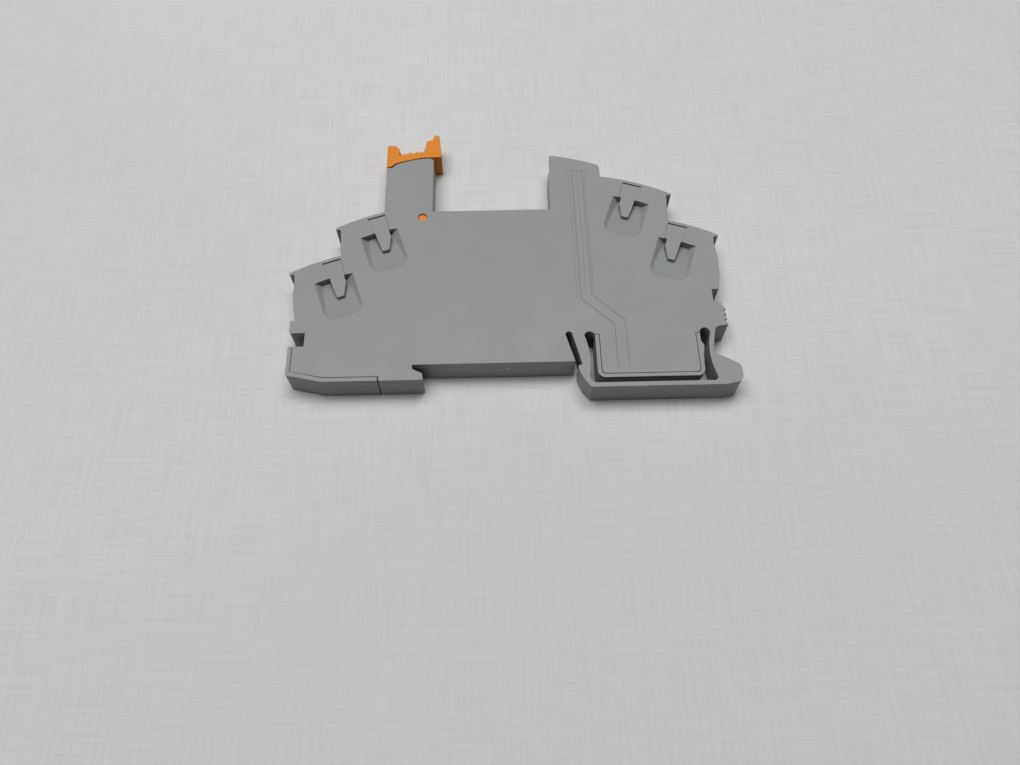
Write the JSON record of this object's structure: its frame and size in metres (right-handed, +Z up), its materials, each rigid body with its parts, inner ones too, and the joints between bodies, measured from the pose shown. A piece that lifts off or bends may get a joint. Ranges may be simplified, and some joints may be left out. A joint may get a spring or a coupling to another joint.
{
  "type": "relay socket",
  "caption": "Slim grey rail-mounted relay socket with an orange retaining lever, lying on its side, its relay bay empty",
  "frame": {"origin": "The middle of the 35 mm rail seat, on the lower side face, which is the face of the side cover that the module lies on.", "axes": "+X across the rail, from the fixed hook to the sprung latch foot. +Y away from the rail, towards the lever and the relay bay's mouth. +Z up through the module's 6.2 mm width, out of the face seen in the picture."},
  "size_m": [0.0948, 0.0689, 0.0062],
  "materials": {
    "housing_plastic": "fine-textured mid grey polyamide",
    "lever_plastic": "moulded orange, slightly satin",
    "spring_steel": "bright stainless leaf spring",
    "tinned_copper": "tin-plated copper strip",
    "contact_brass": "bright rolled spring bronze",
    "board_laminate": "green lacquered glass-fibre laminate",
    "diode_glass": "black moulded body with tinned leads",
    "resistor_lacquer": "beige lacquer with tinned leads",
    "led_resin": "tinted clear resin",
    "clear_resin": "clear moulded light guide"
  },
  "bodies": {
    "base": {"housing": "housing_plastic", "side_cover": "housing_plastic", "coil_upper_clamp_spring": "spring_steel", "coil_lower_clamp_spring": "spring_steel", "contact_upper_clamp_spring": "spring_steel", "contact_lower_clamp_spring": "spring_steel", "coil_upper_bar": "tinned_copper", "coil_lower_bar": "tinned_copper", "contact_upper_bar": "tinned_copper", "contact_lower_bar": "tinned_copper", "coil_fork_outer": "contact_brass", "coil_fork_inner": "contact_brass", "contact_fork_outer": "contact_brass", "contact_fork_inner": "contact_brass", "circuit_board": "board_laminate", "diode": "diode_glass", "resistor": "resistor_lacquer", "indicator_led": "led_resin", "light_pipe": "clear_resin"},
    "lever": {"retaining_lever": "lever_plastic"}
  },
  "joints": [
    {"name": "retaining_lever_hinge", "type": "hinge", "parent": "base", "child": "lever", "pos_m": [-0.0164, 0.0381, 0.00305], "axis": [0, 0, 1], "range_deg": [0, 25]}
  ]
}
